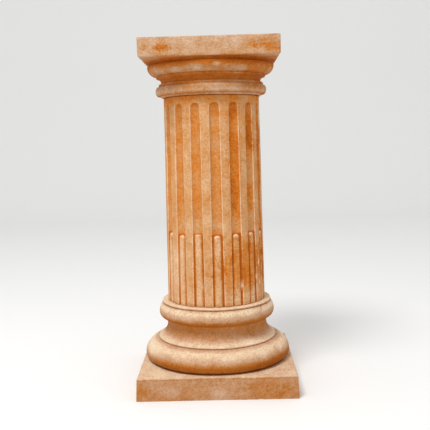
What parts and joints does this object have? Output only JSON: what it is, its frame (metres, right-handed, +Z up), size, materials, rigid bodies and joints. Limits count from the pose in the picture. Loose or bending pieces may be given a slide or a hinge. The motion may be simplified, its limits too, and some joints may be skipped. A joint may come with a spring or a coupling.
{
  "type": "doric column",
  "caption": "Terracotta pedestal column with a square plinth, double torus base, fluted shaft with cabled lower flutes, and a moulded capital under a square abacus.",
  "frame": {"origin": "on the ground under the middle of the plinth", "axes": "+Z up the column, +X and +Y along the plinth's sides, and the side that the picture shows faces -Y"},
  "size_m": [0.455, 0.455, 1],
  "materials": {
    "base_terracotta": "matt unglazed terracotta, cream lime bloom on what faces up",
    "shaft_terracotta": "matt unglazed terracotta, streaks of lime bloom, orange in the flutes",
    "capital_terracotta": "matt unglazed terracotta, pinkish bloom, rust orange in the hollows"
  },
  "bodies": {
    "root": {"base": "base_terracotta", "shaft": "shaft_terracotta", "capital": "capital_terracotta"}
  },
  "joints": []
}
